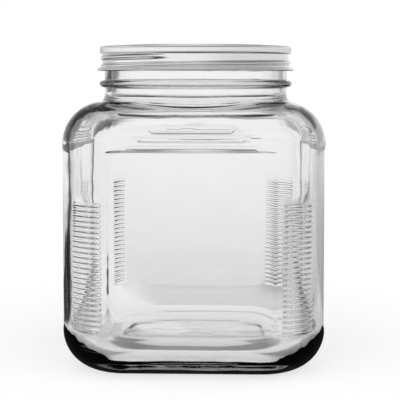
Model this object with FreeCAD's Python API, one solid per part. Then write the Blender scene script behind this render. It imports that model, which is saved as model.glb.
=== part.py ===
"""Square glass cookie jar with a round screw neck and a spun metal screw lid.

Frame: millimetres, +Z up, the origin in the middle of the resting face. The four
faces look along +X, +Y, -X and -Y. The lid is screwed home on the rim of the glass.
"""

import FreeCAD
import Part

import math
import os

from FreeCAD import Base

# ---- glass body ------------------------------------------------------------------
BODY_WIDTH = 165.0        # across the flats at the heel and at the shoulder
CORNER_RADIUS = 41.0      # upright corners, seen from above
SHOULDER_HEIGHT = 168.0   # where the shoulder would meet the axis if the neck were gone
SHOULDER_RADIUS = 27.0    # rounding of the shoulder, seen from the side
HEEL_RADIUS = 25.0        # rounding of the heel, seen from the side
WALL = 4.6                # glass thickness of the sides and the shoulder
BASE_THICKNESS = 8.0      # glass thickness of the floor, above the push-up
INNER_HEEL_RADIUS = 17.0  # rounding where the floor inside meets the sides
PUSH_UP = 1.5             # how far the underside is hollowed
PUSH_UP_ROUNDING = 1.35   # rounding of the hollow's upper edge
BEARING_WIDTH = 7.0       # width of the flat ring that the jar stands on

# ---- face panels, the stepped bars above them and the ribs beside them -------------
PANEL_RECESS = 1.1        # depth of the flat panel on each face
PANEL_BOTTOM = 27.0       # height of the panel's lower ledge
PANEL_TOP = 139.0         # height of the panel's upper ledge
BAR_RELIEF = 0.6          # how far the stepped bars stand out of the shoulder
BAR_HALF_WIDTHS = (39.5, 32.0, 25.0)   # from the lowest bar to the highest
BAR_HEIGHT = 2.4          # height of the two lower bars
TOP_BAR_HEIGHT = 4.5      # height of the rounded bar at the top
BAR_GAP = 2.4             # bare glass between one bar and the next
RIB_PITCH = 3.15          # from one corner rib to the next
RIB_COUNT = 25            # ribs on each corner
RIB_RELIEF = 0.7          # how far a rib stands out of the corner
RIB_BOTTOM = 31.0         # height of the lowest rib's middle
RIB_START = 19.0          # near end of a rib, degrees from the front or back face's normal
RIB_SWEEP = 31.0          # how far a rib runs round its corner, degrees

# ---- neck and finish ---------------------------------------------------------------
NECK_RADIUS = 60.2        # outside of the neck
NECK_WALL = 4.6           # glass thickness of the neck
RIM_HEIGHT = 202.4        # sealing face of the glass
RIM_ROUNDING = 1.2        # rounding of the sealing face's outer edge
BEAD_DROP = 23.8          # from the sealing face down to the middle of the transfer bead
BEAD_RELIEF = 3.4         # how far the transfer bead stands out of the neck
BEAD_HALF_HEIGHT = 2.4    # half its height
THREAD_PITCH = 5.4        # rise of the thread in one turn
THREAD_TURNS = 1.3        # length of the thread
THREAD_START = 150.0      # where the lower end lies, degrees from +X
THREAD_DROP = 13.1        # from the sealing face down to the lower end of the thread
THREAD_RELIEF = 1.2       # how far the glass thread stands out of the neck
THREAD_FOOT = 1.3         # half the width of the glass thread at the neck
THREAD_CREST = 0.5        # half its width at the crest
ROOT = 1.0                # how deep the bead and the thread are rooted in the neck

# ---- screw lid -----------------------------------------------------------------------
SHEET = 0.6               # metal thickness
LID_CLEARANCE = 0.7       # between the neck and the skirt
THREAD_CLEARANCE = 0.35   # between the glass thread and its roll in the skirt
SKIRT_HEIGHT = 16.0       # from the lid's top face down to the foot of the rolled edge
BAND_HEIGHT = 4.4         # height of the upright band under the top face
BAND_STEP = 1.5           # how far the band stands out of the skirt
EDGE_ROUNDING = 0.8       # rounding between the top face and the band
CURL_RADIUS = 1.05        # rolled edge at the foot of the skirt
CURL_STEP = 1.9           # how far the rolled edge stands out of the band
PANEL_RADIUS = 48.0       # raised middle of the lid's top
PANEL_RISE = 0.7          # height of its edge over the rim of the lid
PANEL_DOME = 0.9          # rise of its middle over its edge
DOME_STEPS = 6            # straight steps that stand for the dome's curve
CURL_STEPS = 10           # straight steps round the rolled edge

SMOOTH = 1e-6             # a length that counts as nothing

Z_AXIS = Base.Vector(0, 0, 1)


def vec(x, y, z):
    """A point or direction."""
    return Base.Vector(x, y, z)


def one_solid(shape):
    """The single solid inside a boolean result, with seam faces merged."""
    shape = shape.removeSplitter()
    solids = shape.Solids
    if len(solids) != 1:
        raise ValueError("expected one solid, got %d" % len(solids))
    return solids[0]


def rounded_square(half_width, radius, height):
    """Closed wire: a square with rounded corners, level at the given height."""
    flat = half_width - radius
    edges = []
    for turn in range(4):
        spin = Base.Rotation(Z_AXIS, 90 * turn)
        start = spin.multVec(vec(half_width, -flat, height))
        end = spin.multVec(vec(half_width, flat, height))
        diagonal = flat + radius * math.cos(math.pi / 4)
        middle = spin.multVec(vec(diagonal, diagonal, height))
        after = spin.multVec(vec(flat, half_width, height))
        edges.append(Part.LineSegment(start, end).toShape())
        edges.append(Part.Arc(end, middle, after).toShape())
    return Part.Wire(edges)


def rounded_block(half_width, radius, bottom, top, bottom_round, top_round):
    """Upright rounded-square block whose lower and upper rims are rounded too."""
    face = Part.Face(rounded_square(half_width, radius, bottom))
    block = face.extrude(vec(0, 0, top - bottom))
    low = [e for e in block.Edges if e.BoundBox.ZMax < bottom + SMOOTH]
    block = block.makeFillet(bottom_round, low)
    high = [e for e in block.Edges if e.BoundBox.ZMin > top - SMOOTH]
    return block.makeFillet(top_round, high)


def outer_block(offset):
    """The outside of the glass body, grown outwards by an offset."""
    return rounded_block(
        BODY_WIDTH / 2 + offset,
        CORNER_RADIUS + offset,
        -offset,
        SHOULDER_HEIGHT + offset,
        HEEL_RADIUS + offset,
        SHOULDER_RADIUS + offset,
    )


def cylinder(radius, bottom, top):
    """Upright cylinder on the jar's axis."""
    return Part.makeCylinder(radius, top - bottom, vec(0, 0, bottom), Z_AXIS)


def turned(points):
    """Solid turned from a closed outline of (radius, height) points."""
    wire = Part.makePolygon([vec(r, 0, z) for r, z in points + points[:1]])
    return Part.Face(wire).revolve(vec(0, 0, 0), Z_AXIS, 360)


def panel_cutter():
    """Slab that planes one face down to its flat panel (the face towards +X)."""
    half = BODY_WIDTH / 2
    depth = PANEL_RECESS + BAR_RELIEF + RIB_RELIEF
    return Part.makeBox(
        depth,
        BODY_WIDTH,
        PANEL_TOP - PANEL_BOTTOM,
        vec(half - PANEL_RECESS, -half, PANEL_BOTTOM),
    )


def bar_prism(half_width, bottom, height):
    """Bar with round ends, long enough to reach from the axis out through a face."""
    end = height / 2
    reach = BODY_WIDTH / 2 + BAR_RELIEF
    block = Part.makeBox(
        reach, 2 * (half_width - end), height, vec(0, end - half_width, bottom)
    )
    for side in (-1, 1):
        foot = vec(0, side * (half_width - end), bottom + end)
        block = block.fuse(Part.makeCylinder(end, reach, foot, vec(1, 0, 0)))
    return block


def stepped_bars():
    """The three bars above one panel, each narrower than the one below it."""
    skin = outer_block(BAR_RELIEF).cut(outer_block(-WALL / 2))
    bars = []
    bottom = PANEL_TOP + BAR_GAP / 2
    last = len(BAR_HALF_WIDTHS) - 1
    for index, half_width in enumerate(BAR_HALF_WIDTHS):
        height = TOP_BAR_HEIGHT if index == last else BAR_HEIGHT
        bars.append(skin.common(bar_prism(half_width, bottom, height)))
        bottom += height + BAR_GAP
    return bars


def rib_stacks():
    """The four stacks of level ribs, on the corners beside the front and back panels."""
    flat = BODY_WIDTH / 2 - CORNER_RADIUS
    inner = CORNER_RADIUS - WALL / 2
    valley = CORNER_RADIUS - RIB_RELIEF / 2
    crest = CORNER_RADIUS + RIB_RELIEF
    half = RIB_PITCH / 2
    points = [(inner, RIB_BOTTOM - half), (valley, RIB_BOTTOM - half)]
    for index in range(RIB_COUNT):
        middle = RIB_BOTTOM + index * RIB_PITCH
        points.append((crest, middle - half / 4))
        points.append((crest, middle + half / 4))
        points.append((valley, middle + half))
    points.append((inner, points[-1][1]))
    section = Part.Face(Part.makePolygon([vec(r, 0, z) for r, z in points + points[:1]]))
    starts = {1: 90 - RIB_START - RIB_SWEEP, -1: 90 + RIB_START}
    stacks = []
    for side, start in starts.items():
        for turn in (0, 180):
            stack = section.revolve(vec(0, 0, 0), Z_AXIS, RIB_SWEEP)
            stack.rotate(vec(0, 0, 0), Z_AXIS, start)
            stack.translate(vec(side * flat, flat, 0))
            stack.rotate(vec(0, 0, 0), Z_AXIS, turn)
            stacks.append(stack)
    return stacks


def thread_ridge(radius, depth, relief, foot, crest):
    """One run of thread, rooted a depth inside a cylinder and standing out of it.

    The run climbs anticlockwise seen from above. Foot and crest are half its width at
    the cylinder and at its outer face.
    """
    start = RIM_HEIGHT - THREAD_DROP
    root = foot + (foot - crest) * depth / relief
    outline = [(-depth, -root), (-depth, root), (relief, crest), (relief, -crest)]
    points = [vec(radius + r, 0, start + z) for r, z in outline + outline[:1]]
    helix = Part.makeHelix(THREAD_PITCH, THREAD_PITCH * THREAD_TURNS, radius)
    helix.translate(vec(0, 0, start))
    ridge = Part.Wire(helix.Edges).makePipeShell([Part.makePolygon(points)], True, True)
    ridge.rotate(vec(0, 0, 0), Z_AXIS, THREAD_START)
    return ridge


def neck_outside():
    """The neck up to the sealing face, with its transfer bead and its thread."""
    foot = SHOULDER_HEIGHT - SHOULDER_RADIUS
    points = [
        (0, foot),
        (NECK_RADIUS, foot),
        (NECK_RADIUS, RIM_HEIGHT - RIM_ROUNDING),
        (NECK_RADIUS - RIM_ROUNDING, RIM_HEIGHT),
        (0, RIM_HEIGHT),
    ]
    middle = RIM_HEIGHT - BEAD_DROP
    bead = [(NECK_RADIUS - ROOT, middle - BEAD_HALF_HEIGHT)]
    for angle in range(-90, 91, 30):
        bead.append((
            NECK_RADIUS + BEAD_RELIEF * math.cos(math.radians(angle)),
            middle + BEAD_HALF_HEIGHT * math.sin(math.radians(angle)),
        ))
    bead.append((NECK_RADIUS - ROOT, middle + BEAD_HALF_HEIGHT))
    neck = turned(points).fuse(turned(bead))
    thread = thread_ridge(NECK_RADIUS, ROOT, THREAD_RELIEF, THREAD_FOOT, THREAD_CREST)
    return neck.fuse(thread)


def inside():
    """The hollow of the jar, out through the neck."""
    body = rounded_block(
        BODY_WIDTH / 2 - WALL,
        CORNER_RADIUS - WALL,
        PUSH_UP + BASE_THICKNESS,
        SHOULDER_HEIGHT - WALL,
        INNER_HEEL_RADIUS,
        SHOULDER_RADIUS - WALL,
    )
    bore = cylinder(NECK_RADIUS - NECK_WALL, SHOULDER_HEIGHT - 2 * WALL, RIM_HEIGHT + 1)
    return body.fuse(bore)


def make_jar():
    """The glass, one solid."""
    jar = outer_block(0).fuse(neck_outside())
    for turn in range(4):
        cutter = panel_cutter()
        cutter.rotate(vec(0, 0, 0), Z_AXIS, 90 * turn)
        jar = jar.cut(cutter)
    additions = rib_stacks()
    for turn in range(4):
        for bar in stepped_bars():
            bar.rotate(vec(0, 0, 0), Z_AXIS, 90 * turn)
            additions.append(bar)
    jar = jar.fuse(additions)
    jar = jar.cut(inside())
    bearing = BODY_WIDTH / 2 - HEEL_RADIUS
    hollow = rounded_block(
        bearing - BEARING_WIDTH,
        CORNER_RADIUS - HEEL_RADIUS - BEARING_WIDTH / 2,
        -ROOT,
        PUSH_UP,
        ROOT / 2,
        PUSH_UP_ROUNDING,
    )
    return one_solid(jar.cut(hollow))


def lid_shell():
    """The lid turned from its section, before the thread is rolled into the skirt."""
    top = RIM_HEIGHT + SHEET
    foot = top - SKIRT_HEIGHT
    skirt = NECK_RADIUS + LID_CLEARANCE + SHEET
    band = skirt + BAND_STEP
    curl = band + CURL_STEP - CURL_RADIUS
    outer = []
    inner = []
    for index in range(DOME_STEPS + 1):
        share = index / DOME_STEPS
        height = top + PANEL_RISE + PANEL_DOME * (1 - share * share)
        outer.append((PANEL_RADIUS * share, height))
        inner.append((PANEL_RADIUS * share, height - SHEET))
    outer.append((PANEL_RADIUS + PANEL_RISE, top))
    inner.append((PANEL_RADIUS + PANEL_RISE, top - SHEET))
    outer.append((band - EDGE_ROUNDING, top))
    outer.append((band - EDGE_ROUNDING * 0.3, top - EDGE_ROUNDING * 0.3))
    outer.append((band, top - EDGE_ROUNDING))
    inner.append((band - SHEET, top - SHEET))
    outer.append((band, top - BAND_HEIGHT))
    inner.append((band - SHEET, top - BAND_HEIGHT + SHEET / 2))
    outer.append((skirt, top - BAND_HEIGHT - BAND_STEP / 2))
    inner.append((skirt - SHEET, top - BAND_HEIGHT - BAND_STEP / 2 + SHEET / 2))
    neck_of_curl = foot + CURL_RADIUS + SHEET
    outer.append((skirt, neck_of_curl + SHEET / 2))
    outer.append((curl - CURL_RADIUS, neck_of_curl))
    inner.append((skirt - SHEET, neck_of_curl - SHEET))
    for index in range(1, CURL_STEPS):
        angle = math.pi * (1 - 1.5 * index / CURL_STEPS)
        radius = curl + CURL_RADIUS * math.cos(angle)
        outer.append((radius, foot + CURL_RADIUS * (1 + math.sin(angle))))
    outer.append((curl, foot))
    outer.append((skirt, foot + CURL_RADIUS / 2))
    return turned(outer + inner[::-1])


def make_lid():
    """The metal lid, one solid: its skirt is rolled out over the glass thread."""
    skirt = NECK_RADIUS + LID_CLEARANCE + SHEET
    groove_crest = NECK_RADIUS + THREAD_RELIEF + THREAD_CLEARANCE
    side = THREAD_FOOT + THREAD_CLEARANCE
    roll_relief = groove_crest + SHEET - skirt
    roll = thread_ridge(skirt, SHEET / 2, roll_relief, side + SHEET, THREAD_CREST + SHEET)
    groove = thread_ridge(
        NECK_RADIUS, -LID_CLEARANCE / 2, groove_crest - NECK_RADIUS, side, THREAD_CREST
    )
    return one_solid(lid_shell().fuse(roll).cut(groove))


os.makedirs("parts", exist_ok=True)
jar = make_jar()
jar.exportStep("parts/jar.step")
lid = make_lid()
lid.exportStep("parts/lid.step")
for name, solid in (("jar", jar), ("lid", lid)):
    print(name, solid.isValid(), round(solid.Volume), "mm3", len(solid.Faces), "faces")
print("brimful", round(inside().common(cylinder(BODY_WIDTH, 0, RIM_HEIGHT)).Volume / 1000), "ml")
print("overlap", round(jar.common(lid).Volume, 3), "mm3")
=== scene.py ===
"""Square glass cookie jar with a round screw neck and a spun metal screw lid.

All shapes are in metres, in the same frame as the solids: +Z up, the origin in the
middle of the resting face, the four faces of the jar along +X, +Y, -X and -Y.
"""
import math

import bpy
import numpy as np
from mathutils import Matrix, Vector


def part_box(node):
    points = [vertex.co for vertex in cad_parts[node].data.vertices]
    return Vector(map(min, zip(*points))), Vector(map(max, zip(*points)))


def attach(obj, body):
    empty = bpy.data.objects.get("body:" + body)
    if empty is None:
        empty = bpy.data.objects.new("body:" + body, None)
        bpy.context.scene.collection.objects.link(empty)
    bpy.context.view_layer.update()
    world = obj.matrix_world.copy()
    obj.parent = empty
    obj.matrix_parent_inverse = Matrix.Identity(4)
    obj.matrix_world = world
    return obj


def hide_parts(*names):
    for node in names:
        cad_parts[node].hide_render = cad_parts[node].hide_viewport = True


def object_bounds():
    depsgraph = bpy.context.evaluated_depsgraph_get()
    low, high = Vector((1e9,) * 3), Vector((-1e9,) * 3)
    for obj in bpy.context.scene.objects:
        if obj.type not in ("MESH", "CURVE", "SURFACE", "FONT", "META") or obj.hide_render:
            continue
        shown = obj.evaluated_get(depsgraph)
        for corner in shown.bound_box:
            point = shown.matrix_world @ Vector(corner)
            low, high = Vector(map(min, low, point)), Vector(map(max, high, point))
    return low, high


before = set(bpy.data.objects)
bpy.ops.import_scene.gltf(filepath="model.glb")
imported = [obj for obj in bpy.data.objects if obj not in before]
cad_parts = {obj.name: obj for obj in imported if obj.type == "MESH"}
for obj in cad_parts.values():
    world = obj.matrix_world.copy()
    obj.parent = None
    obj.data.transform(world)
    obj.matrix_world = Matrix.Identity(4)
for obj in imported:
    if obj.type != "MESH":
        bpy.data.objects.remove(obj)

bl_info = {
    "name": "Glass Cookie Jar",
    "version": (1, 0, 0),
    "blender": (4, 5, 0),
    "location": "3D View > Sidebar > Cookie Jar",
    "description": "Square glass jar with ribbed corners and a spun metal screw lid",
    "category": "Object",
}

MM = 0.001
CAD_BOX = [[float(value) for value in corner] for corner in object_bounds()]
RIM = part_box("jar")[1][2]     # height of the glass's sealing face
FLOOR_DROP = 0.2 * MM         # the floor lies this far under the bearing ring

QUARTERS = 4                  # a face and a corner make a quarter of the body
FACE_LINES = 36               # upright lines of the grid on one face
CORNER_LINES = 37             # upright lines of the grid on one corner
MIDDLE = 0.9                  # share of half the width at which the floor's middle begins


# ---- properties --------------------------------------------------------------------


def length(name, description, millimetres):
    """A length property whose default is given in millimetres."""
    return bpy.props.FloatProperty(
        name=name, description=description, default=millimetres * MM, unit="LENGTH",
        precision=4,
    )


def turning(name, description, degrees):
    """An angle property whose default is given in degrees."""
    return bpy.props.FloatProperty(
        name=name, description=description, default=math.radians(degrees),
        subtype="ANGLE",
    )


def share(name, description, value):
    """A plain number between nothing and one."""
    return bpy.props.FloatProperty(
        name=name, description=description, default=value, min=0.0, max=1.0,
        subtype="FACTOR",
    )


def colour(name, description, value):
    """A colour property, linear."""
    return bpy.props.FloatVectorProperty(
        name=name, description=description, default=value, size=3, min=0.0, max=1.0,
        subtype="COLOR",
    )


class GlassSizes(bpy.types.PropertyGroup):
    """Sizes of the glass body."""

    width: length("Width", "Across the flats of the body", 165.0)
    corner: length("Corner radius", "Upright corners seen from above", 41.0)
    shoulder_height: length("Shoulder height", "Top of the shoulder", 168.0)
    shoulder: length("Shoulder radius", "Rounding of the shoulder", 27.0)
    heel: length("Heel radius", "Rounding of the heel", 25.0)
    wall: length("Wall", "Glass thickness of the sides", 4.6)
    floor: length("Floor", "Height of the floor inside", 11.5)
    inner_heel: length("Inner heel radius", "Rounding inside the heel", 17.0)
    push_up: length("Push-up", "Rise of the hollow underside", 0.8)
    slope: length("Slope", "Width of the slope round the hollow underside", 6.0)
    bearing: length("Bearing width", "Flat ring that the jar stands on", 7.0)
    panel_recess: length("Panel recess", "Depth of the face panels", 1.1)
    panel_bottom: length("Panel bottom", "Height of a panel's lower ledge", 27.0)
    panel_top: length("Panel top", "Height of a panel's upper ledge", 139.0)
    lowest_bar: length("Lowest bar", "Half the width of the lowest bar", 39.501)
    bar_step: length("Bar step", "What each bar's half width loses to the next", 7.2435)
    bar_relief: length("Bar relief", "How far the stepped bars stand out", 0.6)
    bar_height: length("Bar height", "Height of the two lower bars", 2.4)
    top_bar_height: length("Top bar height", "Height of the top bar", 4.5)
    bar_gap: length("Bar gap", "Bare glass between two bars", 2.4)
    rib_pitch: length("Rib pitch", "From one corner rib to the next", 3.15)
    rib_relief: length("Rib relief", "How far a rib stands out", 0.7)
    rib_bottom: length("Lowest rib", "Height of the lowest rib", 31.0)
    rib_count: bpy.props.IntProperty(
        name="Ribs", description="Ribs on each corner", default=25, min=1
    )
    rib_start: turning("Rib start", "Near end of a rib, from the front's normal", 19.0)
    rib_sweep: turning("Rib sweep", "How far a rib runs round its corner", 31.0)
    neck: length("Neck radius", "Outside of the neck", 60.2)
    neck_wall: length("Neck wall", "Glass thickness of the neck", 4.6)
    neck_fillet: length("Neck fillet", "Between the shoulder and the neck", 3.0)
    neck_lip: length("Inner lip", "Rounding inside, from the neck to the shoulder", 4.0)
    rim_rounding: length("Rim rounding", "Both edges of the sealing face", 1.2)
    bead_drop: length("Bead drop", "From the rim down to the bead", 23.8)
    bead_relief: length("Bead relief", "How far the bead stands out", 3.4)
    bead_half: length("Bead half height", "Half the bead's height", 2.4)
    thread_relief: length("Thread relief", "How far the glass thread stands out", 1.2)
    thread_half: length("Thread half height", "Half the glass thread's height", 1.3)
    ripple: length("Ripple", "Unevenness of the inside surface", 0.12)


class LidSizes(bpy.types.PropertyGroup):
    """Sizes of the metal lid."""

    sheet: length("Sheet", "Metal thickness", 0.6)
    skirt: length("Skirt radius", "Outside of the skirt between the rolls", 61.5)
    band_step: length("Band step", "How far the band stands out of the skirt", 1.5)
    band_height: length("Band height", "Upright band under the top face", 4.4)
    skirt_height: length("Skirt height", "From the top face to the rolled edge", 16.0)
    rounding: length("Edge rounding", "Between the top face and the band", 0.8)
    curl: length("Curl radius", "Rolled edge at the foot", 1.05)
    curl_step: length("Curl step", "How far the rolled edge passes the band", 1.9)
    panel: length("Panel radius", "Raised middle of the top", 48.0)
    panel_rise: length("Panel rise", "Height of the raised middle's edge", 0.7)
    panel_dome: length("Panel dome", "Rise of the middle over its edge", 0.9)
    pitch: length("Thread pitch", "Rise of the thread roll in one turn", 5.4)
    roll_relief: length("Roll relief", "How far the thread roll stands out", 1.3)
    roll_half: length("Roll half height", "Half the thread roll's height", 2.0)
    thread_drop: length("Thread drop", "From the rim down to the thread's start", 13.1)
    thread_start: turning("Thread start", "Where the thread starts, from +X", 150.0)
    thread_run: turning("Thread run", "How far the thread runs round", 470.0)
    thread_fade: turning("Thread fade", "Over what angle each end runs out", 25.0)
    flute_depth: length("Flute depth", "Depth of the fine flutes", 0.30)
    flute_count: bpy.props.IntProperty(
        name="Flutes", description="Fine flutes round the band", default=240, min=3
    )


class Finishes(bpy.types.PropertyGroup):
    """Colours and finishes."""

    glass_colour: colour("Glass", "Tint of the glass surface", (0.985, 0.99, 0.988))
    glass_depth: bpy.props.FloatProperty(
        name="Glass density", description="How fast thick glass darkens, per metre",
        default=9.0, min=0.0,
    )
    metal_colour: colour("Metal", "Colour of the lid", (0.92, 0.92, 0.92))
    metal_roughness: share("Metal roughness", "Roughness of the lid", 0.24)
    floor_colour: colour("Floor", "Colour of the floor", (0.50, 0.50, 0.50))
    floor_lift: share("Floor lift", "Light added so that the floor reads white", 0.63)


GROUPS = {"jar_glass": GlassSizes, "jar_lid": LidSizes, "jar_finish": Finishes}


# ---- shader expressions --------------------------------------------------------------


class Value:
    """A number socket that can be used in an ordinary expression."""

    def __init__(self, shader, socket):
        self.shader = shader
        self.socket = socket

    def math(self, operation, *others, first=None):
        """A Math node on this value and others, or on `first` and this value."""
        values = [self, *others] if first is None else [first, self]
        inputs = {index: value for index, value in enumerate(values)}
        node = self.shader.node("ShaderNodeMath", {"operation": operation}, inputs)
        return Value(self.shader, node.outputs[0])

    def __add__(self, other):
        return self.math("ADD", other)

    def __sub__(self, other):
        return self.math("SUBTRACT", other)

    def __mul__(self, other):
        return self.math("MULTIPLY", other)

    def __truediv__(self, other):
        return self.math("DIVIDE", other)

    def __pow__(self, other):
        return self.math("POWER", other)

    def __neg__(self):
        return self.math("MULTIPLY", -1.0)

    def __rsub__(self, other):
        return self.math("SUBTRACT", first=other)

    def __rtruediv__(self, other):
        return self.math("DIVIDE", first=other)

    __radd__ = __add__
    __rmul__ = __mul__

    def at_least(self, other):
        """The larger of the two."""
        return self.math("MAXIMUM", other)

    def ramp(self, low, high):
        """Smooth rise from nothing at `low` to one at `high`."""
        settings = {"interpolation_type": "SMOOTHSTEP"}
        inputs = {"Value": self, "From Min": low, "From Max": high}
        node = self.shader.node("ShaderNodeMapRange", settings, inputs)
        return Value(self.shader, node.outputs[0])


class Shader:
    """Builds the nodes of one material or of the world."""

    def __init__(self, owner):
        owner.use_nodes = True
        self.tree = owner.node_tree
        self.tree.nodes.clear()

    def node(self, kind, settings=None, inputs=None):
        """Add a node, set its settings, then its sockets' values or links."""
        made = self.tree.nodes.new(kind)
        for key, value in (settings or {}).items():
            setattr(made, key, value)
        for key, value in (inputs or {}).items():
            socket = value.socket if isinstance(value, Value) else value
            if isinstance(socket, bpy.types.NodeSocket):
                self.tree.links.new(socket, made.inputs[key])
            else:
                made.inputs[key].default_value = value
        return made

    def value(self, kind, output=0, settings=None, inputs=None):
        """Add a node and wrap one of its outputs."""
        return Value(self, self.node(kind, settings, inputs).outputs[output])

    def parts(self, vector):
        """The X, Y and Z of a vector socket."""
        node = self.node("ShaderNodeSeparateXYZ", None, {0: vector})
        return [Value(self, output) for output in node.outputs]

    def vector(self, x, y, z):
        """A vector socket from three values."""
        return self.node("ShaderNodeCombineXYZ", None, {0: x, 1: y, 2: z}).outputs[0]

    def noise(self, vector, scale, detail=2.0):
        """Noise between nothing and one."""
        inputs = {"Vector": vector, "Scale": scale, "Detail": detail}
        return self.value("ShaderNodeTexNoise", "Fac", None, inputs)

    def mix(self, factor, low, high):
        """Colour that goes from low to high."""
        settings = {"data_type": "RGBA"}
        inputs = {0: factor, 6: low, 7: high}
        return self.node("ShaderNodeMix", settings, inputs).outputs[2]


def rgba(values):
    """A colour socket's value."""
    return (*values, 1.0)


BLACK = rgba((0.0, 0.0, 0.0))
WHITE = rgba((1.0, 1.0, 1.0))


# ---- mesh helpers ----------------------------------------------------------------------


def smooth(values, low, high):
    """Smooth step: 0 below low, 1 above high, 3t^2 - 2t^3 between."""
    t = np.clip((values - low) / (high - low), 0.0, 1.0)
    return t * t * (3.0 - 2.0 * t)


def dense(start, end, count, marks, reach, pull):
    """Places from start to end, closer together near the marks.

    The spacing is the inverse of 1 + pull * sum of bells of width `reach` at the marks.
    """
    fine = np.linspace(start, end, 4000)
    bells = np.exp(-(((fine[:, None] - np.asarray(marks)[None, :]) / reach) ** 2))
    density = 1.0 + pull * bells.sum(axis=1)
    total = np.concatenate([[0.0], np.cumsum((density[1:] + density[:-1]) / 2.0)])
    return np.interp(np.linspace(0.0, total[-1], count), total, fine)


def ring_quads(rows, columns):
    """Four corners of each face between neighbouring rings, which close on themselves."""
    row = np.arange(rows - 1)[:, None] * columns
    here = np.arange(columns)
    there = (here + 1) % columns
    return np.stack(
        [row + here, row + there, row + columns + there, row + columns + here], axis=-1
    ).reshape(-1, 4)


def mesh_piece(name, points, faces, material):
    """Mesh object at the origin, from points and lists of faces."""
    mesh = bpy.data.meshes.new(name)
    mesh.from_pydata(points.tolist(), [], faces)
    mesh.update()
    mesh.materials.append(material)
    made = bpy.data.objects.new(name, mesh)
    bpy.context.scene.collection.objects.link(made)
    return made


def closed_surface(name, rings, first_pole, last_pole, material):
    """Mesh object from rings of points, closed by a pole at each end.

    rings has the shape (rows, columns, 3). Neighbouring rings are joined by quads and
    the end rings to their poles by triangles. Where the volume, a sum of a . (b x c)
    over the faces, comes out negative, the faces are turned to point outwards.
    """
    rows, columns, _ = rings.shape
    points = np.concatenate([rings.reshape(-1, 3), [first_pole], [last_pole]])
    quads = ring_quads(rows, columns)
    here = np.arange(columns)
    there = (here + 1) % columns
    end = (rows - 1) * columns
    first = np.stack([np.full(columns, rows * columns), there, here], axis=-1)
    last = np.stack([np.full(columns, rows * columns + 1), end + here, end + there], -1)
    a, b, c = (points[quads[:, corner]] for corner in range(3))
    volume = np.einsum("ij,ij->i", a, np.cross(b, c)).sum()
    if volume < 0:
        quads = quads[:, ::-1]
        first = first[:, ::-1]
        last = last[:, ::-1]
    faces = quads.tolist() + first.tolist() + last.tolist()
    made = mesh_piece(name, points, faces, material)
    made.data.polygons.foreach_set("use_smooth", np.ones(len(faces), dtype=bool))
    made.data.update()
    return made


# ---- glass -----------------------------------------------------------------------------


class Columns:
    """The upright lines of the body's grid, all the way round.

    Each line has a foot on the square skeleton through the four corner axes, a level
    outward direction, and its angle from the front's or the back's own direction. The
    lines stand closer together at the ends of the bars, the panels and the ribs.
    """

    def __init__(self, sizes):
        flat = sizes.width / 2 - sizes.corner
        bars = bar_half_widths(sizes)
        inner = sizes.bar_height / 2
        marks = np.concatenate([bars - inner, inner - bars])
        along = dense(-flat, flat, FACE_LINES + 1, marks, 2.0 * MM, 3.0)[:-1]
        panel_edge = math.acos(1 - sizes.panel_recess / sizes.corner)
        quarter = math.pi / 2
        marks = np.array([panel_edge, sizes.rib_start, sizes.rib_start + sizes.rib_sweep])
        marks = np.concatenate([marks, quarter - marks])
        turn = dense(0.0, quarter, CORNER_LINES + 1, marks, math.radians(2.0), 3.0)[:-1]
        side_x = np.full(len(along) + len(turn), flat)
        side_y = np.concatenate([along, np.full(len(turn), flat)])
        leaning = np.concatenate([np.zeros(len(along)), turn])
        spin = np.repeat(np.arange(QUARTERS) * quarter, len(leaning))
        x = np.tile(side_x, QUARTERS)
        y = np.tile(side_y, QUARTERS)
        self.foot = np.stack(
            [x * np.cos(spin) - y * np.sin(spin), x * np.sin(spin) + y * np.cos(spin)], -1
        )
        facing = spin + np.tile(leaning, QUARTERS)
        self.normal = np.stack([np.cos(facing), np.sin(facing)], axis=-1)
        self.from_front = np.arccos(np.minimum(np.abs(self.normal[:, 1]), 1.0))
        outline = self.foot + self.normal * sizes.corner
        self.direction = outline / np.linalg.norm(outline, axis=1)[:, None]
        self.angle = np.arctan2(self.direction[:, 1], self.direction[:, 0])

    def ring(self, sizes, inset):
        """The body's outline moved inwards: the corners shrink first, then the square."""
        half = sizes.width / 2
        flat = half - sizes.corner
        reach = max(sizes.corner - inset, 0.0)
        scale = min((half - inset) / flat, 1.0)
        return self.foot * scale + self.normal * reach

    def circle(self, radius):
        """A circle round the jar's axis."""
        return self.direction * radius


def bar_half_widths(sizes):
    """Half widths of the three stepped bars, from the lowest to the highest."""
    return sizes.lowest_bar - np.arange(3) * sizes.bar_step


def with_height(plan, height):
    """Points from their plan and their height."""
    height = np.broadcast_to(height, plan.shape[:-1])
    return np.concatenate([plan, height[..., None]], axis=-1)


def block_height(inset, top, radius):
    """Height of a block's rounded rim at an inset from its side.

    A quarter circle: top - radius + sqrt(radius^2 - (radius - inset)^2), then flat.
    """
    left = np.clip(radius - inset, 0.0, radius)
    return top - radius + np.sqrt(radius * radius - left * left)


def inset_at(sizes, points):
    """How far points lie inside the body's outline, measured square to it."""
    flat = sizes.width / 2 - sizes.corner
    beyond = np.maximum(np.abs(points) - flat, 0.0)
    return sizes.corner - np.linalg.norm(beyond, axis=-1)


def rib_wave(sizes, height):
    """Share of the ribs' relief by height, 1.5 |cos| - 0.5.

    The crests are broad, and the narrow grooves go a little into the wall.
    """
    phase = (height - sizes.rib_bottom) / sizes.rib_pitch
    inside = (phase > -0.5) & (phase < sizes.rib_count - 0.5)
    return np.where(inside, 1.5 * np.abs(np.cos(math.pi * phase)) - 0.5, 0.0)


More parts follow.
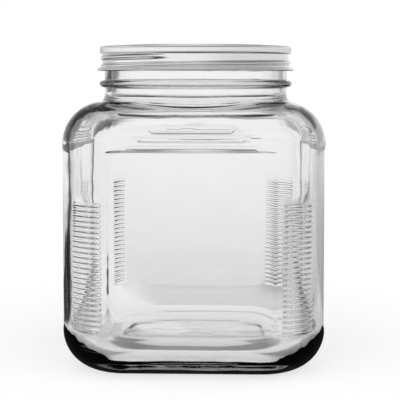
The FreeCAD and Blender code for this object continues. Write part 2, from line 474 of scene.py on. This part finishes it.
def rib_lift(sizes, columns, heights):
    """How far the ribs stand out: the wave by height, times a smooth step at each end."""
    away = columns.from_front[None, :]
    end = sizes.rib_start + sizes.rib_sweep
    fade = math.radians(1.6)
    on_corner = smooth(away, sizes.rib_start, sizes.rib_start + fade)
    on_corner = on_corner * (1.0 - smooth(away, end - fade, end))
    return sizes.rib_relief * rib_wave(sizes, heights) * on_corner


def bar_lift(sizes, points, heights):
    """How far the bars stand out.

    A bar is all that lies within half its height of its middle line, which gives it
    round ends. Its relief is a smooth step over that distance.
    """
    lateral = np.abs(points).min(axis=-1)
    bottom = sizes.panel_top + sizes.bar_gap / 2
    lift = 0.0
    for index, half_width in enumerate(bar_half_widths(sizes)):
        tall = sizes.top_bar_height if index == 2 else sizes.bar_height
        middle = bottom + tall / 2
        beyond = np.maximum(lateral - (half_width - tall / 2), 0.0)
        edge = tall / 2 - np.hypot(beyond, heights - middle)
        lift = lift + sizes.bar_relief * smooth(edge, -0.25 * MM, 0.35 * MM)
        bottom = bottom + tall + sizes.bar_gap
    return lift


def plane_panels(sizes, points, heights):
    """Plane the four faces down to flat panels between the two ledges.

    The distance d to a face becomes the smooth minimum of itself and of the panel's
    plane p: d - (g + sqrt(g^2 + soft^2)) / 2, where g is d - p.
    """
    soft = 0.4 * MM
    low, high = sizes.panel_bottom, sizes.panel_top
    window = smooth(heights, low - 2.5 * MM, low + 1.5 * MM)
    window = window * (1.0 - smooth(heights, high - 0.8 * MM, high + 1.2 * MM))
    plane = sizes.width / 2 - sizes.panel_recess * window
    distance = np.abs(points)
    gap = distance - plane[..., None]
    cut = distance - (gap + np.sqrt(gap * gap + soft * soft)) / 2.0
    return np.where(window[..., None] > 0.0, np.sign(points) * cut, points)


def outside_relief(sizes, columns, points, heights, tilt):
    """Add ribs, bars and panels to rings of the outside.

    points is (rows, columns, 2), heights and tilt are (rows, 1). Ribs and bars move a
    point along the surface's normal, which leans up by the tilt.
    """
    lift = rib_lift(sizes, columns, heights) + bar_lift(sizes, points, heights)
    moved = points + columns.normal[None] * (lift * np.cos(tilt))[..., None]
    raised = heights + lift * np.sin(tilt)
    return plane_panels(sizes, moved, heights), raised


def underside_rows(sizes):
    """Rows (inset, height, tilt) of the hollow underside, out to the bearing ring.

    The hollow falls to the ring by the smooth step 3t^2 - 2t^3.
    """
    down = -math.pi / 2
    edge = sizes.heel + sizes.bearing
    rows = []
    for inset in np.linspace(sizes.width / 2 * MIDDLE, edge + sizes.slope, 4):
        rows.append((inset, sizes.push_up, down))
    for step in np.linspace(0.0, 1.0, 7)[1:]:
        fall = step * step * (3 - 2 * step)
        rows.append((edge + sizes.slope * (1 - step), sizes.push_up * (1 - fall), down))
    rows.append((edge - sizes.bearing / 2, 0.0, down))
    return rows


def heel_rows(sizes):
    """Rows (inset, height, tilt) of the heel, a quarter circle."""
    rows = []
    for angle in np.linspace(0.0, math.pi / 2, 16):
        rows.append((
            sizes.heel * (1 - math.sin(angle)), sizes.heel * (1 - math.cos(angle)),
            angle - math.pi / 2,
        ))
    return rows


def wall_rows(sizes):
    """Rows (inset, height, tilt) of the upright wall: five for each rib, fewer beyond."""
    low = sizes.rib_bottom - sizes.rib_pitch / 2
    high = low + sizes.rib_count * sizes.rib_pitch
    start = sizes.shoulder_height - sizes.shoulder
    heights = np.concatenate([
        dense(sizes.heel, low, 10, [sizes.panel_bottom], 0.8 * MM, 3.0)[1:-1],
        np.linspace(low, high, sizes.rib_count * 5 + 1),
        dense(high, start, 16, [sizes.panel_top], 1.2 * MM, 20.0)[1:],
    ])
    return [(0.0, height, 0.0) for height in heights]


def shoulder_rows(sizes):
    """Rows (inset, height, tilt) of the shoulder, a part of a circle.

    They lie close together as far as the bars reach up it, and wide apart beyond.
    """
    start = sizes.shoulder_height - sizes.shoulder
    bars_end = math.asin(0.56)
    last = math.radians(68.0)
    near = np.linspace(0.0, bars_end, 38)[1:]
    far = np.linspace(bars_end, last, 8)[1:]
    rows = []
    for angle in np.concatenate([near, far]):
        rows.append((
            sizes.shoulder * (1 - math.cos(angle)),
            start + sizes.shoulder * math.sin(angle), angle,
        ))
    return rows


def outside_rings(sizes, columns):
    """Rings of the outside from the middle of the underside up to the shoulder.

    A row's ring is the body's outline moved in by its inset. Under the base the rings
    turn seven tenths of the way into circles towards the middle.
    """
    rows = underside_rows(sizes) + heel_rows(sizes) + wall_rows(sizes)
    insets, heights, tilts = np.array(rows + shoulder_rows(sizes)).T
    square = np.stack([columns.ring(sizes, inset) for inset in insets])
    half = sizes.width / 2
    round_middle = np.stack([columns.circle(half - inset) for inset in insets])
    blend = 0.7 * smooth(insets, sizes.heel, sizes.heel + sizes.bearing)[:, None, None]
    points, heights = outside_relief(
        sizes, columns, square * (1.0 - blend) + round_middle * blend,
        heights[:, None], tilts[:, None],
    )
    return with_height(points, heights)


def saddle_rings(sizes, columns, start):
    """Rings from the shoulder's last ring up to the neck.

    The plan goes straight from the start ring to a circle. The height is that of the
    block's rounded rim there, plus a quarter-circle fillet at the neck.
    """
    fillet = sizes.neck_fillet
    circle = columns.circle(sizes.neck + fillet)
    rings = []
    for part in np.linspace(0.0, 1.0, 7)[1:]:
        rings.append(start[:, :2] * (1 - part) + circle * part)
    for angle in np.linspace(0.0, math.pi / 2, 7)[1:]:
        rings.append(columns.circle(sizes.neck + fillet * (1 - math.sin(angle))))
    plan = np.stack(rings)
    height = block_height(inset_at(sizes, plan), sizes.shoulder_height, sizes.shoulder)
    past = sizes.neck + fillet - np.linalg.norm(plan, axis=-1)
    past = np.clip(past, 0.0, fillet)
    height = height + fillet - np.sqrt(np.maximum(fillet * fillet - past * past, 0.0))
    return with_height(plan, height)


def neck_rows(sizes):
    """Rows (radius, height, threaded) of the neck, its bead, its rim and its bore.

    The bead is half an ellipse, and the rim's edges are quarter circles. Threaded is
    one where the thread stands, otherwise nothing.
    """
    middle = RIM - sizes.bead_drop
    clear = 0.4 * MM
    foot = middle - sizes.bead_half
    rows = [(sizes.neck, foot - 3 * MM, 0.0), (sizes.neck, foot - clear, 0.0)]
    for angle in np.linspace(-math.pi / 2, math.pi / 2, 15):
        rows.append((
            sizes.neck + sizes.bead_relief * math.cos(angle),
            middle + sizes.bead_half * math.sin(angle), 0.0,
        ))
    for height in np.linspace(middle + sizes.bead_half + clear, RIM - 3 * MM, 20):
        rows.append((sizes.neck, height, 1.0))
    corner = sizes.rim_rounding
    for angle in np.linspace(0.0, math.pi / 2, 5):
        rows.append((
            sizes.neck - corner * (1 - math.cos(angle)),
            RIM - corner * (1 - math.sin(angle)), 0.0,
        ))
    bore = sizes.neck - sizes.neck_wall
    for angle in np.linspace(math.pi / 2, 0.0, 5):
        rows.append((
            bore + corner * (1 - math.cos(angle)),
            RIM - corner * (1 - math.sin(angle)), 0.0,
        ))
    for height in np.linspace(RIM - 6 * MM, sizes.shoulder_height + 2 * MM, 5):
        rows.append((bore, height, 0.0))
    return rows


def neck_rings(sizes, columns, lid):
    """Rings of the neck: circles of each row's radius, plus the thread's ridge."""
    rows = np.array(neck_rows(sizes))
    radius, height, threaded = (values[:, None] for values in rows.T)
    ridge = helix_relief(lid, columns.angle[None, :], height, sizes.thread_half)
    radius = radius + threaded * ridge * sizes.thread_relief
    return with_height(columns.direction[None] * radius[..., None], height)


def helix_relief(lid, angle, height, half):
    """Share of the thread's relief at an angle round the axis and a height.

    The thread climbs one pitch in each turn. Across it the relief is a rounded bump,
    and along it it fades at both ends. The same angle is met once in each turn.
    """
    begin, run, fade = lid.thread_start, lid.thread_run, lid.thread_fade
    total = np.zeros(np.broadcast(angle, height).shape)
    for turn in range(3):
        gone = angle - begin + 2 * math.pi * turn
        middle = RIM - lid.thread_drop + lid.pitch * gone / (2 * math.pi)
        along = smooth(gone, -fade / 2, fade / 2) * (1 - smooth(gone, run - fade, run))
        bump = 1.0 - smooth(np.abs(height - middle), 0.1 * half, half)
        total = np.maximum(total, along * bump)
    return total


def inner_shoulder_rings(sizes, columns, last):
    """Rings inside, from the bore's lip along the shoulder to the angle `last`.

    The lip is a quarter circle on the block's rounded rim. From it the plan goes
    straight from a circle to the body's outline, at the rim's own height.
    """
    wall = sizes.wall
    top = sizes.shoulder_height - wall
    rounding = sizes.shoulder - wall
    bore = sizes.neck - sizes.neck_wall
    lip = sizes.neck_lip
    rings = []
    for angle in np.linspace(0.0, math.pi / 2, 8):
        plan = columns.circle(bore + lip * (1 - math.cos(angle)))
        height = block_height(inset_at(sizes, plan) - wall, top, rounding)
        rings.append(with_height(plan, height + lip * (1 - math.sin(angle))))
    far = columns.ring(sizes, wall + rounding * (1 - math.cos(last)))
    near = columns.circle(bore + lip)
    for part in np.linspace(0.0, 1.0, 6)[1:]:
        plan = near * (1 - part) + far * part
        height = block_height(inset_at(sizes, plan) - wall, top, rounding)
        rings.append(with_height(plan, height))
    return rings


def inner_wall_rows(sizes, first):
    """Rows (inset, height) inside, from the shoulder's angle `first` down to the floor.

    Shoulder and heel are parts of circles, and the wall between them is upright.
    """
    wall = sizes.wall
    rounding = sizes.shoulder - wall
    high = sizes.shoulder_height - sizes.shoulder
    low = sizes.floor + sizes.inner_heel
    rows = []
    for angle in np.linspace(first, 0.0, 14)[1:]:
        rows.append((
            wall + rounding * (1 - math.cos(angle)), high + rounding * math.sin(angle)
        ))
    for height in np.linspace(high, low, 10)[1:-1]:
        rows.append((wall, height))
    for angle in np.linspace(0.0, math.pi / 2, 14):
        rows.append((
            wall + sizes.inner_heel * (1 - math.cos(angle)),
            low - sizes.inner_heel * math.sin(angle),
        ))
    for inset in np.linspace(wall + sizes.inner_heel, sizes.width / 2 * MIDDLE, 8)[1:]:
        rows.append((inset, sizes.floor))
    return rows


def inside_rings(sizes, columns):
    """Rings of the inside from the bore down the shoulder and the wall to the floor.

    The inside is uneven: a sum of slow sine waves over its place moves it in and out.
    """
    lean = math.radians(62.0)
    rings = inner_shoulder_rings(sizes, columns, lean)
    for inset, height in inner_wall_rows(sizes, lean):
        rings.append(with_height(columns.ring(sizes, inset), height))
    rings = np.stack(rings)
    x, y, z = (rings[..., axis] for axis in range(3))
    wave = np.sin(x * 90 + 1.3) * np.sin(z * 70 + y * 40) + np.sin(y * 110 + z * 55 + 0.7)
    distance = np.linalg.norm(rings[..., :2], axis=-1, keepdims=True)
    rings[..., :2] *= 1.0 - sizes.ripple * wave[..., None] / distance
    return rings


def glass_rings(sizes, lid):
    """All rings of the glass, from under the base, over the rim, to the floor inside."""
    columns = Columns(sizes)
    outside = outside_rings(sizes, columns)
    saddle = saddle_rings(sizes, columns, outside[-1])
    neck = neck_rings(sizes, columns, lid)
    inside = inside_rings(sizes, columns)
    return np.concatenate([outside, saddle, neck, inside])


class JAR_OT_glass(bpy.types.Operator):
    """Build the glass: one closed surface with its wall's true thickness."""

    bl_idname = "cookie_jar.glass"
    bl_label = "Build glass"

    def execute(self, context):
        sizes = context.scene.jar_glass
        rings = glass_rings(sizes, context.scene.jar_lid)
        made = closed_surface(
            "glass_body", rings, (0.0, 0.0, sizes.push_up), (0.0, 0.0, sizes.floor),
            glass_material(context.scene.jar_finish),
        )
        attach(made, "root")
        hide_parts("jar")
        return {"FINISHED"}


# ---- lid -------------------------------------------------------------------------------


def dome(sizes, part):
    """Height of the lid's raised middle over its rim, a parabola from middle to edge."""
    return sizes.panel_rise + sizes.panel_dome * (1 - part * part)


def step_down(part):
    """Smooth step 3t^2 - 2t^3 of one number."""
    return part * part * (3 - 2 * part)


def lid_top_rows(sizes, top, band):
    """Rows of the lid's top: raised middle, smooth step down, flat rim, rounded edge."""
    rows = []
    for part in np.linspace(0.0, 1.0, 7)[1:]:
        rows.append((sizes.panel * part, top + dome(sizes, part), 0.0, 0.0))
    rim = sizes.panel + sizes.panel_rise
    for part in np.linspace(0.0, 1.0, 6)[1:]:
        rise = sizes.panel_rise * (1 - step_down(part))
        rows.append((sizes.panel + sizes.panel_rise * part, top + rise, 0.0, 0.0))
    for part in np.linspace(0.1, 0.9, 4):
        rows.append((rim + (band - sizes.rounding - rim) * part, top, 0.0, 0.0))
    for angle in np.linspace(0.0, math.pi / 2, 6):
        rows.append((
            band - sizes.rounding * (1 - math.sin(angle)),
            top - sizes.rounding * (1 - math.cos(angle)), 0.0, 0.0,
        ))
    return rows


def lid_side_rows(sizes, top, band):
    """Rows of the fluted band, the step in to the skirt, the skirt and the rolled edge."""
    foot = top - sizes.skirt_height
    rows = []
    for part in np.linspace(0.0, 1.0, 12)[1:]:
        depth = sizes.rounding + (sizes.band_height - sizes.rounding) * part
        fluted = float(smooth(part, 0.02, 0.2) * (1 - smooth(part, 0.75, 1.0)))
        rows.append((band, top - depth, fluted, 0.0))
    for part in np.linspace(0.0, 1.0, 6)[1:]:
        depth = sizes.band_height + sizes.band_step * part / 2
        rows.append((band - sizes.band_step * step_down(part), top - depth, 0.0, 1.0))
    high = top - sizes.band_height - sizes.band_step / 2
    low = foot + 2 * sizes.curl + sizes.sheet / 2
    for height in np.linspace(high, low, 28)[1:]:
        rows.append((sizes.skirt, height, 0.0, 1.0))
    middle = band + sizes.curl_step - sizes.curl
    for angle in np.linspace(math.radians(150.0), math.radians(-120.0), 15):
        rows.append((
            middle + sizes.curl * math.cos(angle),
            foot + sizes.curl * (1 + math.sin(angle)), 0.0, 0.0,
        ))
    rows.append((sizes.skirt, foot + sizes.curl / 2, 0.0, 0.0))
    return rows


def lid_inside_rows(sizes, top, band):
    """Rows up the inside of the skirt and in under the top, one sheet behind the outside."""
    foot = top - sizes.skirt_height
    inner = sizes.skirt - sizes.sheet
    high = top - sizes.band_height - sizes.band_step / 2
    under = top - sizes.sheet
    bevel = 0.2 * MM
    rows = [(inner, foot + sizes.curl, 0.0, 0.0)]
    for height in np.linspace(foot + 2 * sizes.curl, high, 4):
        rows.append((inner, height, 0.0, 0.0))
    rows.append((band - sizes.sheet, high + sizes.band_step / 2, 0.0, 0.0))
    rows.append((band - sizes.sheet, under - bevel, 0.0, 0.0))
    rows.append((band - sizes.sheet - bevel, under, 0.0, 0.0))
    rows.append((sizes.panel + sizes.panel_rise, under, 0.0, 0.0))
    for part in np.linspace(1.0, 0.2, 5):
        rows.append((sizes.panel * part, under + dome(sizes, part), 0.0, 0.0))
    return rows


def lid_rows(sizes):
    """Rows of the lid's surface as (radius, height, fluted, rolled).

    They run from the middle of the top, out and down the side and back up inside to the
    middle of the underside. Rolled is one where the thread may push the sheet out.
    """
    top = RIM + sizes.sheet
    band = sizes.skirt + sizes.band_step
    rows = lid_top_rows(sizes, top, band) + lid_side_rows(sizes, top, band)
    return rows + lid_inside_rows(sizes, top, band)


def lid_rings(sizes):
    """Rings of the lid: rows turned round the axis, with flutes and the thread roll.

    A flute is a cosine wave in the radius round the band, and the thread roll is a
    rounded bump in the radius that follows the thread's helix.
    """
    rows = np.array(lid_rows(sizes))
    radius, height, fluted, rolled = (values[:, None] for values in rows.T)
    count = sizes.flute_count * 4
    angle = np.arange(count)[None, :] * (2 * math.pi / count)
    flutes = 0.5 * (np.cos(angle * sizes.flute_count) - 1.0) * sizes.flute_depth
    wrapped = np.where(angle > math.pi, angle - 2 * math.pi, angle)
    roll = helix_relief(sizes, wrapped, height, sizes.roll_half) * sizes.roll_relief
    radius = radius + fluted * flutes
    radius = np.where(rolled > 0, np.maximum(radius, sizes.skirt + roll), radius)
    plan = np.stack([radius * np.cos(angle), radius * np.sin(angle)], axis=-1)
    return with_height(plan, height)


class JAR_OT_lid(bpy.types.Operator):
    """Build the metal lid: one closed sheet with its flutes, thread roll and curl."""

    bl_idname = "cookie_jar.lid"
    bl_label = "Build lid"

    def execute(self, context):
        sizes = context.scene.jar_lid
        peak = RIM + sizes.sheet + dome(sizes, 0.0)
        made = closed_surface(
            "screw_lid", lid_rings(sizes), (0.0, 0.0, peak),
            (0.0, 0.0, peak - sizes.sheet), metal_material(context.scene.jar_finish),
        )
        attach(made, "root")
        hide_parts("lid")
        return {"FINISHED"}


# ---- materials ---------------------------------------------------------------------------


def glass_material(finish):
    """Clear pressed glass: sharp refraction, faint waviness, darker where it is thick."""
    material = bpy.data.materials.new("clear_glass")
    shader = Shader(material)
    place = shader.node("ShaderNodeTexCoord").outputs["Object"]
    waves = shader.noise(place, 55.0, 1.0)
    specks = shader.noise(place, 900.0, 2.0)
    bump = shader.node("ShaderNodeBump", None, {
        "Strength": 0.10, "Distance": 0.002, "Height": waves * 0.9 + specks * 0.003,
    })
    tint = shader.mix(
        waves.ramp(0.3, 0.7), rgba(finish.glass_colour),
        rgba([min(channel + 0.01, 1.0) for channel in finish.glass_colour]),
    )
    surface = shader.node("ShaderNodeBsdfPrincipled", None, {
        "Base Color": tint, "Roughness": 0.0, "IOR": 1.5, "Transmission Weight": 1.0,
        "Normal": bump.outputs[0],
    })
    volume = shader.node("ShaderNodeVolumeAbsorption", None, {
        "Color": (0.10, 0.12, 0.11, 1.0), "Density": finish.glass_depth,
    })
    shader.node("ShaderNodeOutputMaterial", None, {
        "Surface": surface.outputs[0], "Volume": volume.outputs[0],
    })
    return material


def metal_material(finish):
    """Spun satin metal: fine rings round the axis, a little uneven in tone."""
    material = bpy.data.materials.new("lid_metal")
    shader = Shader(material)
    place = shader.node("ShaderNodeTexCoord").outputs["Object"]
    x, y, z = shader.parts(place)
    radius = (x * x + y * y) ** 0.5
    rings = shader.noise(shader.vector(radius, 0.0, z), 2600.0, 3.0)
    cloud = shader.noise(place, 26.0, 3.0)
    bump = shader.node("ShaderNodeBump", None, {
        "Strength": 0.25, "Distance": 0.0002, "Height": rings,
    })
    tone = shader.mix(
        cloud * 0.5 + rings * 0.5, rgba([0.94 * c for c in finish.metal_colour]),
        rgba([min(1.06 * c, 1.0) for c in finish.metal_colour]),
    )
    surface = shader.node("ShaderNodeBsdfPrincipled", None, {
        "Base Color": tone, "Metallic": 1.0,
        "Roughness": finish.metal_roughness + (rings - 0.5) * 0.12 + (cloud - 0.5) * 0.06,
        "Normal": bump.outputs[0],
    })
    shader.node("ShaderNodeOutputMaterial", None, {"Surface": surface.outputs[0]})
    return material


# ---- stage, light and camera ---------------------------------------------------------------


def across(value, low, high, soft):
    """One between low and high, with soft edges outside them, otherwise nothing."""
    return value.ramp(low - soft, low) * (1.0 - value.ramp(high, high + soft))


class Paths:
    """Which kind of ray is asking: one for yes, nothing for no."""

    def __init__(self, shader):
        path = shader.node("ShaderNodeLightPath")
        glossy = Value(shader, path.outputs["Is Glossy Ray"])
        self.camera = Value(shader, path.outputs["Is Camera Ray"])
        self.through = Value(shader, path.outputs["Is Transmission Ray"])
        self.mirrored = glossy.at_least(self.through) * (1.0 - self.camera)


def degrees_up(value, low, high):
    """Smooth rise of an angle between two numbers of degrees."""
    return value.ramp(math.radians(low), math.radians(high))


def degrees_across(value, low, high, soft):
    """One where an angle is between two numbers of degrees, with soft edges."""
    return across(value, math.radians(low), math.radians(high), math.radians(soft))


def painted_side_shading(tone, turn, away):
    """Painted light and shade on the table: white, black and grey stretches, by the angle from
    straight behind.

    The painted white lies to the left and round to the front. The painted black shade lies
    within it and starts further round close to the jar. The painted grey shade lies to the
    right.
    """
    # painted light: a white stretch of the table seen through the glass
    white = degrees_up(-turn, 14.0, 24.0) * (1.0 - degrees_up(-turn, 130.0, 170.0))
    tone = tone + (0.97 - tone) * white
    near = 1.0 - away.ramp(0.11, 0.30)
    # painted black shade on the table, seen only through the glass
    black = degrees_up(-turn - math.radians(22.0) * near, 44.0, 52.0)
    black = black * (1.0 - degrees_up(-turn, 76.0, 90.0))
    tone = tone * (1.0 - 0.98 * black * away.ramp(0.10, 0.16))
    # painted grey shade on the table to the right
    grey = degrees_across(turn, 20.0, 62.0, 6.0)
    return tone * (1.0 - 0.38 * grey * away.ramp(0.12, 0.22))


def painted_foot_shading(tone, x, y, away, spread):
    """Painted light and shade on the table at the jar's foot: painted pale light under it, with
    a painted white ring of light behind it.

    The radius of a rounded square, the fourth root of x^4 + y^4, places the edge of the pale
    patch and a painted shadow, a dark line where the bearing ring stands on the table, on the
    front's side.
    """
    # painted white ring of light behind the jar
    ring = across(away, 0.090, 0.108, 0.004) * (1.0 - degrees_up(spread, 60.0, 90.0))
    square = (x ** 4.0 + y ** 4.0) ** 0.25
    # painted shadow where the bearing ring stands on the table
    painted_contact_shadow = across(square, 0.0505, 0.0565, 0.003) * degrees_up(spread, 95.0, 140.0)
    # painted pale light under the jar
    under = (0.82 + 0.15 * square.ramp(0.054, 0.060)) * (1.0 - away.ramp(0.080, 0.090))
    return tone.at_least(0.97 * ring).at_least(under) * (1.0 - 0.65 * painted_contact_shadow)


def painted_table_shading(x, y):
    """Painted light and shade on the table as seen through the glass, by the place on it.

    A painted shadow makes it grey close by, rising to nearly white far off. Near the jar's front
    a painted shade makes it darker, which draws the glass's edges.
    """
    away = (x * x + y * y) ** 0.5
    turn = x.math("ARCTAN2", y)
    spread = turn.math("ABSOLUTE")
    # painted shadow of the jar: grey close by, nearly white far off
    tone = 0.74 + 0.20 * (1.0 - 0.18 / away).at_least(0.0)
    tone = painted_side_shading(tone, turn, away)
    # painted shade on the table near the jar's front
    front = degrees_up(spread, 92.0, 110.0)
    tone = tone * (1.0 - 0.45 * front * (1.0 - away.ramp(0.14, 0.24)))
    return painted_foot_shading(tone, x, y, away, spread)


def painted_flag_shade(turn, rise):
    """Shares of painted shade: a black flag at the left of the back wall and a grey one at its
    right.

    There is no flag in the scene; both are dark patches painted into what the glass and the
    metal see. Both stand nearer to the middle the higher up they are.
    """
    left = -turn - math.radians(27.0) + math.radians(21.0) * degrees_up(rise, -5.0, 5.0)
    # painted black shade at the left of the back wall
    black = degrees_up(left, -2.0, 5.0) * (1.0 - degrees_up(-turn, 62.0, 72.0))
    right = turn - math.radians(32.0) + math.radians(25.0) * degrees_up(rise, -4.0, 4.0)
    # painted grey shade at the right of the back wall
    grey = degrees_up(right, -2.0, 4.0) * (1.0 - degrees_up(turn, 58.0, 66.0))
    return black, grey


def painted_room_shading(x, y, z):
    """Brightness of the room as seen through the glass: white, with painted shade.

    The painted shade is the black and the grey flag patch. Over the back wall there is a painted
    grey gap, then a white band for a lamp above, then a painted dark ceiling.
    """
    rise = z.math("ARCTAN2", (x * x + y * y) ** 0.5)
    turn = x.math("ARCTAN2", y)
    black, grey = painted_flag_shade(turn, rise)
    # painted grey gap over the back wall
    gap = 0.9 * degrees_across(rise, 15.0, 28.0, 3.0)
    # painted shade of a dark ceiling, joined with the grey gap
    painted_ceiling_shade = gap.at_least(degrees_up(rise, 46.0, 56.0))
    painted_ceiling_shade = painted_ceiling_shade * (1.0 - degrees_up(turn.math("ABSOLUTE"), 60.0, 100.0))
    return 0.97 * (1.0 - black) * (1.0 - 0.62 * grey) * (1.0 - 0.9 * painted_ceiling_shade)


def painted_reflection_tone(x, y, z):
    """Brightness of the room as mirrored, a painted reflection: bright, with painted shade to
    the right and high up.

    The painted black flag shows in it as a grey one.
    """
    level = (x * x + y * y) ** 0.5
    rise = z.math("ARCTAN2", level)
    black, _ = painted_flag_shade(x.math("ARCTAN2", y), rise)
    right = x / level.at_least(0.001)
    # painted shade in the reflection, dimmer to the right
    tone = 1.0 - 0.28 * right.ramp(0.0, 0.9)
    # painted shade in the reflection, high up
    high = degrees_across(rise, 22.0, 58.0, 10.0)
    return tone * (1.0 - 0.4 * black) * (1.0 - 0.6 * high)


def floor_material(finish):
    """Pale matt floor that reads white to the camera and keeps the jar's shadow.

    Rays that come through the glass see painted light and shade on it instead, and mirrored ones
    see a painted reflection of it, dark close by and bright far off.
    """
    material = bpy.data.materials.new("studio_floor")
    shader = Shader(material)
    place = shader.node("ShaderNodeTexCoord").outputs["Object"]
    x, y, _ = shader.parts(place)
    paths = Paths(shader)
    grain = shader.noise(place, 300.0, 2.0)
    tone = shader.mix(
        grain, rgba([0.97 * c for c in finish.floor_colour]), rgba(finish.floor_colour)
    )
    matt = shader.node("ShaderNodeBsdfDiffuse", None, {"Color": tone, "Roughness": 1.0})
    lift = shader.node("ShaderNodeEmission", None, {
        "Color": rgba([finish.floor_lift] * 3), "Strength": 1.0,
    })
    lit = shader.node("ShaderNodeAddShader", None, {0: matt.outputs[0], 1: lift.outputs[0]})
    away = (x * x + y * y) ** 0.5
    # painted reflection: the floor dark close by and bright far off
    painted_floor_reflection = 0.03 + 0.87 * away.ramp(0.4, 1.6)
    seen = painted_table_shading(x, y) * paths.through + painted_floor_reflection * (1.0 - paths.through)
    # painted light and shade on the floor that only glass and metal see
    table = shader.node("ShaderNodeEmission", None, {
        "Color": shader.mix(seen, BLACK, WHITE), "Strength": 1.0,
    })
    both = shader.node("ShaderNodeMixShader", None, {
        0: paths.mirrored, 1: lit.outputs[0], 2: table.outputs[0],
    })
    shader.node("ShaderNodeOutputMaterial", None, {"Surface": both.outputs[0]})
    return material


def world_light():
    """Soft even light, white to the camera, with painted shade that only glass and metal see."""
    world = bpy.data.worlds.new("studio_world")
    bpy.context.scene.world = world
    shader = Shader(world)
    direction = shader.node("ShaderNodeTexCoord").outputs["Generated"]
    x, y, z = shader.parts(direction)
    paths = Paths(shader)
    # painted shade seen through the glass and mirrored in the metal
    seen = painted_room_shading(x, y, z) * paths.through + painted_reflection_tone(x, y, z) * (1.0 - paths.through)
    plain = paths.camera + 0.85 * (1.0 - paths.camera)
    strength = seen * paths.mirrored + plain * (1.0 - paths.mirrored)
    background = shader.node("ShaderNodeBackground", None, {
        "Color": shader.mix(strength, BLACK, WHITE), "Strength": 1.0,
    })
    shader.node("ShaderNodeOutputWorld", None, {"Surface": background.outputs[0]})


def studio_floor(finish, reach):
    """A round flat floor: circles, closer together near the middle, closed by a fan."""
    radius = np.linspace(0.08, 1.0, 12)[:, None] ** 2 * reach
    angle = np.linspace(0.0, 2 * math.pi, 97)[:-1]
    plan = np.stack([radius * np.cos(angle), radius * np.sin(angle)], axis=-1)
    rings = with_height(plan, -FLOOR_DROP)
    rows, columns, _ = rings.shape
    here = np.arange(columns)
    quads = ring_quads(rows, columns)[:, ::-1]
    fan = np.stack([np.full(columns, rows * columns), here, (here + 1) % columns], axis=-1)
    points = np.concatenate([rings.reshape(-1, 3), [[0.0, 0.0, -FLOOR_DROP]]])
    faces = quads.tolist() + fan.tolist()
    return mesh_piece("studio_floor", points, faces, floor_material(finish))


def add_camera():
    """A long lens just under the lid's height, a little right of the front face."""
    camera = bpy.data.cameras.new("view")
    camera.sensor_width = 36.0
    camera.lens = 99.4
    camera.shift_x = 0.0108
    camera.shift_y = -0.15
    camera.clip_start = 0.01
    made = bpy.data.objects.new("view", camera)
    bpy.context.scene.collection.objects.link(made)
    bpy.context.scene.camera = made
    distance = 733 * MM
    height = 187 * MM
    turn = math.radians(1.8)
    pitch = math.radians(3.58)
    place = Vector((distance * math.sin(turn), -distance * math.cos(turn), height))
    target = Vector((0.0, 0.0, height - distance * math.tan(pitch)))
    made.location = place
    made.rotation_euler = (target - place).to_track_quat("-Z", "Y").to_euler()


class JAR_OT_stage(bpy.types.Operator):
    """Build the floor, the light and the camera."""

    bl_idname = "cookie_jar.stage"
    bl_label = "Build stage"

    def execute(self, context):
        reach = 20 * (CAD_BOX[1][2] - CAD_BOX[0][2])
        studio_floor(context.scene.jar_finish, reach)
        world_light()
        context.scene.view_settings.view_transform = "Standard"
        add_camera()
        return {"FINISHED"}


# ---- panel and registration -------------------------------------------------------------------


class JAR_PT_panel(bpy.types.Panel):
    """Sidebar panel with a button for each piece."""

    bl_idname = "JAR_PT_panel"
    bl_label = "Cookie Jar"
    bl_space_type = "VIEW_3D"
    bl_region_type = "UI"
    bl_category = "Cookie Jar"

    def draw(self, context):
        for operator in OPERATORS:
            self.layout.operator(operator.bl_idname)
        for group in GROUPS:
            box = self.layout.box()
            settings = getattr(context.scene, group)
            for name in settings.__annotations__:
                box.prop(settings, name)


OPERATORS = (JAR_OT_glass, JAR_OT_lid, JAR_OT_stage)
CLASSES = (*GROUPS.values(), *OPERATORS, JAR_PT_panel)


def register():
    """Register the classes and hang the settings on the scene."""
    for kind in CLASSES:
        bpy.utils.register_class(kind)
    for name, kind in GROUPS.items():
        setattr(bpy.types.Scene, name, bpy.props.PointerProperty(type=kind))


def unregister():
    """Take the settings and the classes away again."""
    for name in GROUPS:
        delattr(bpy.types.Scene, name)
    for kind in reversed(CLASSES):
        bpy.utils.unregister_class(kind)


def main():
    """Build every piece in order."""
    register()
    bpy.ops.cookie_jar.glass()
    bpy.ops.cookie_jar.lid()
    bpy.ops.cookie_jar.stage()


if __name__ == "__main__":
    main()
